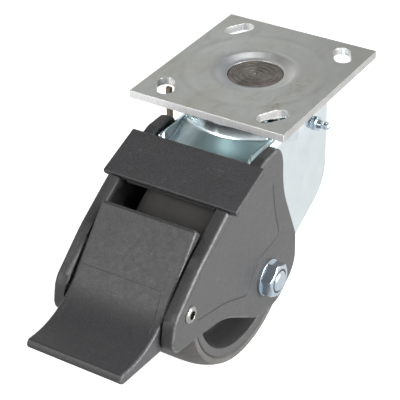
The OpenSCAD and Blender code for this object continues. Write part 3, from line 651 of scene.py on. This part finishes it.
def swept(name, points, radius, side_way, sides=10):
    """A thin tube along points: at the angle a its skin lies radius * (cos a * out + sin a * side) off
    the line, where side is side_way made square to the line and out is square to both."""
    points = np.asarray(points, float)
    along = np.gradient(points, axis=0)
    along /= np.linalg.norm(along, axis=1)[:, None]
    side = np.asarray(side_way, float) - (along @ np.asarray(side_way, float))[:, None] * along
    side /= np.linalg.norm(side, axis=1)[:, None]
    out = np.cross(along, side)
    angle = np.linspace(0, 2 * np.pi, sides, endpoint=False)[None, :, None]
    skin = points[:, None] + radius * (np.cos(angle) * out[:, None] + np.sin(angle) * side[:, None])
    last = (len(points) - 1) * sides
    ends = [list(range(sides))[::-1], [last + k for k in range(sides)]]
    return skinned(name, skin, net(len(points), sides, closed=False) + ends, 50)


def added(piece, finish, node):
    """Gives a new piece its finish and lets it ride with a node's body."""
    piece.data.materials.append(finish)
    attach(piece, nodes[node]["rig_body"])
    return piece


corners = np.array([[-27.0, -168.0], [-29.0, -141.7], [24.0, -141.7], [27.3, -160.0]])
steps = np.linspace(0, 1, 40)[:, None]
path = np.concatenate([a + steps * (b - a) for a, b in zip(corners[:-1], corners[1:])])
over_pedal, down_the_plate, line_r = -20.0, (0, 0.55, -0.83), 0.14
above = np.column_stack([path, np.full(len(path), over_pedal)])
mould_path = on_surface("pedal", above, (0, 0, -1))
added(swept("mould_line", mould_path, line_r, down_the_plate), shaded_nylon, "pedal")
print("mould line:", mould_path.min(0).round(1), mould_path.max(0).round(1))

# %% Bar under the bridge
faces = nodes["bridge"].data.polygons
upper_face = max(faces, key=lambda face: face.area * (face.normal.z > 0))
under_face = max(faces, key=lambda face: face.area * (face.normal.z < 0))
over = np.array(upper_face.normal)
down = np.cross((1, 0, 0), over)
down = down if down[2] < 0 else -down
front = (np.array([v.co[:] for v in nodes["bridge"].data.vertices]) / MM @ down).max()
under = np.array(under_face.center) @ over / MM
bar_half, bar_r, set_back, hang = 29.0, 1.1, 1.7, 1.9
bar_at = down * (front - set_back) + over * (under - hang)
bar_points = bar_at + np.array([[-bar_half, 0, 0], [0, 0, 0], [bar_half, 0, 0]])
added(swept("bridge_bar", bar_points, bar_r, over, 24), shaded_nylon, "bridge")
print("bridge bar at", bar_at.round(1), "bridge front", round(float(front), 1))

# %% [markdown]
# The two grooves in a cheek's outer face read as dark lines. Their floors are copied, thickened and
# raised to just under the face as a dark strip, painted shade for the grooves.

# %% Groove floors
GROOVE_DEEP, FILL_RAISED, FILL_THICK, SEAT_RIM = (v * MM for v in (0.6, 0.45, 0.3, 0.8))


def groove_fill(node, side):
    """The floor faces of a cheek's grooves, as a dark strip of painted shade just under the face. The
    washer's seat is as deep as the grooves and is left out."""
    floor_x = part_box("right_cheek")[1].x - GROOVE_DEEP
    seat_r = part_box("axle_washers")[1].z - axle[2] * MM + SEAT_RIM

    def is_floor(face):
        middle = face.calc_center_median()
        off_axle = math.hypot(middle.y - axle[1] * MM, middle.z - axle[2] * MM)
        return abs(face.normal.x) > 0.99 and abs(abs(middle.x) - floor_x) < 0.05 * MM and off_axle > seat_r

    form = bmesh.new()
    form.from_mesh(nodes[node].data)
    bmesh.ops.remove_doubles(form, verts=form.verts, dist=MERGE_M)
    bmesh.ops.delete(form, geom=[face for face in form.faces if not is_floor(face)], context="FACES")
    bmesh.ops.translate(form, verts=form.verts, vec=(side * FILL_RAISED, 0, 0))
    mesh = bpy.data.meshes.new(node + "_groove_fill")
    form.to_mesh(mesh)
    form.free()
    piece = linked(mesh.name, mesh)
    thick = piece.modifiers.new("thickness", "SOLIDIFY")
    thick.thickness = FILL_THICK
    thick.offset = -1
    return added(piece, groove_painted_shade, node)


fills = [groove_fill("left_cheek", -1), groove_fill("right_cheek", 1)]
print("groove floors:", [len(piece.data.polygons) for piece in fills])

# %% [markdown]
# The mouth of the nut's thread is drawn as a thin dark ring laid round the bolt's end: painted shade for its
# countersink.

# %% Mouth of the nut
nut_face = max(v.co.x for v in nodes["axle_nut"].data.vertices) / MM
end_r = max(math.hypot(v.co.y / MM - axle[1], v.co.z / MM - axle[2])
            for v in nodes["axle_bolt"].data.vertices if v.co.x / MM > nut_face)
inner_r, outer_r = end_r + 0.02, end_r + 1.1
mouth = rounded([[inner_r, nut_face + 0.08], [outer_r, nut_face + 0.05], [outer_r, nut_face - 0.1],
                 [inner_r, nut_face - 0.1]], 0.03, 3)
added(turned("nut_mouth", mouth, 96, across, on_axle), painted_shade_steel, "axle_nut")
print("nut face", round(nut_face, 2), "bolt end radius", round(end_r, 2))

# %% [markdown]
# The grease nipple is small, so a soft-edged copy of its solid is enough.

# %% Grease nipple
nipple = dressed("grease_nipple", nut_zinc, 0.15, 30)
print("nipple faces:", len(nipple.data.polygons))

# %% [markdown]
# ## Floor, world and lamps
# The photograph has a plain white ground. Near the castor the floor shows the camera a colour near
# white but still takes the castor's shadow, and it fades to pure white between 0.25 and 0.6 m. Shiny
# faces see a floor of one pale tone.

# %% Floor
def glowing(tree, kind, strength):
    """An even light of the kind Emission or Background."""
    node = tree.nodes.new("ShaderNode" + kind)
    node.inputs["Color"].default_value = (1, 1, 1, 1)
    node.inputs["Strength"].default_value = strength
    return node


def either(tree, share, a, b):
    """The shader a where share is 0 and b where it is 1."""
    node = tree.nodes.new("ShaderNodeMixShader")
    tree.links.new(share, node.inputs[0])
    tree.links.new(a.outputs[0], node.inputs[1])
    tree.links.new(b.outputs[0], node.inputs[2])
    return node


bpy.ops.mesh.primitive_plane_add(size=6, location=(0, 0, floor_z - 0.2 * MM))
floor = bpy.context.object
floor.name = "floor"
paper = bpy.data.materials.new("white_ground")
paper.use_nodes = True
tree = paper.node_tree
tree.nodes.clear()
diffuse = tree.nodes.new("ShaderNodeBsdfDiffuse")
diffuse.inputs["Color"].default_value = (0.8, 0.8, 0.8, 1)
shaded = tree.nodes.new("ShaderNodeAddShader")
tree.links.new(diffuse.outputs[0], shaded.inputs[0])
tree.links.new(glowing(tree, "Emission", 0.72).outputs[0], shaded.inputs[1])
reach = tree.nodes.new("ShaderNodeVectorMath")
reach.operation = "LENGTH"
tree.links.new(tree.nodes.new("ShaderNodeTexCoord").outputs["Object"], reach.inputs[0])
far = spread(tree, reach.outputs["Value"], 0.25, 0.6)
rays = tree.nodes.new("ShaderNodeLightPath")
fading = either(tree, far, shaded, glowing(tree, "Emission", 1.0))
seen = either(tree, rays.outputs["Is Camera Ray"], diffuse, fading)
shiny = either(tree, rays.outputs["Is Glossy Ray"], seen, glowing(tree, "Emission", 0.85))
out = tree.nodes.new("ShaderNodeOutputMaterial")
tree.links.new(shiny.outputs[0], out.inputs["Surface"])
floor.data.materials.append(paper)
print("floor at", round(floor_z, 4))

# %% [markdown]
# The world is white for the camera, and a dim grey for diffuse light, so that the lamps shape the
# castor. Shiny faces see a sky that is dim overhead and pale near the horizon.

# %% World
world = bpy.data.worlds.new("studio")
bpy.context.scene.world = world
world.use_nodes = True
tree = world.node_tree
tree.nodes.clear()
height = axes_of(tree, tree.nodes.new("ShaderNodeTexCoord").outputs["Generated"])["Z"]
rays = tree.nodes.new("ShaderNodeLightPath")
grey, sky, white = (glowing(tree, "Background", strength) for strength in (0.12, 1.0, 1.0))
tree.links.new(spread(tree, height, 0.2, 0.85, 1.0, 0.2), sky.inputs["Strength"])
glossy = either(tree, rays.outputs["Is Glossy Ray"], grey, sky)
seen = either(tree, rays.outputs["Is Camera Ray"], glossy, white)
out = tree.nodes.new("ShaderNodeOutputWorld")
tree.links.new(seen.outputs[0], out.inputs["Surface"])
print("world ready")

# %% [markdown]
# Three large soft boxes light the castor: the strongest on the right, one on the pedal's side from the
# left, and a weak one overhead.

# %% Lamps
def soft_box(name, place, size, watts):
    """A square area lamp at place that faces the middle of the castor."""
    lamp = bpy.data.lights.new(name, "AREA")
    lamp.size = size
    lamp.energy = watts
    way = Vector(place) - Vector((0, -0.06, -0.08))
    linked(name, lamp).matrix_world = Matrix.Translation(place) @ way.to_track_quat("Z", "Y").to_matrix().to_4x4()


soft_box("right_box", (1.25, 0.05, 0.12), 0.9, 42)
soft_box("front_box", (-0.45, -1.25, 0.75), 0.8, 13)
soft_box("top_box", (0.1, 0.35, 1.3), 0.8, 4)
bpy.context.scene.view_settings.view_transform = "Standard"
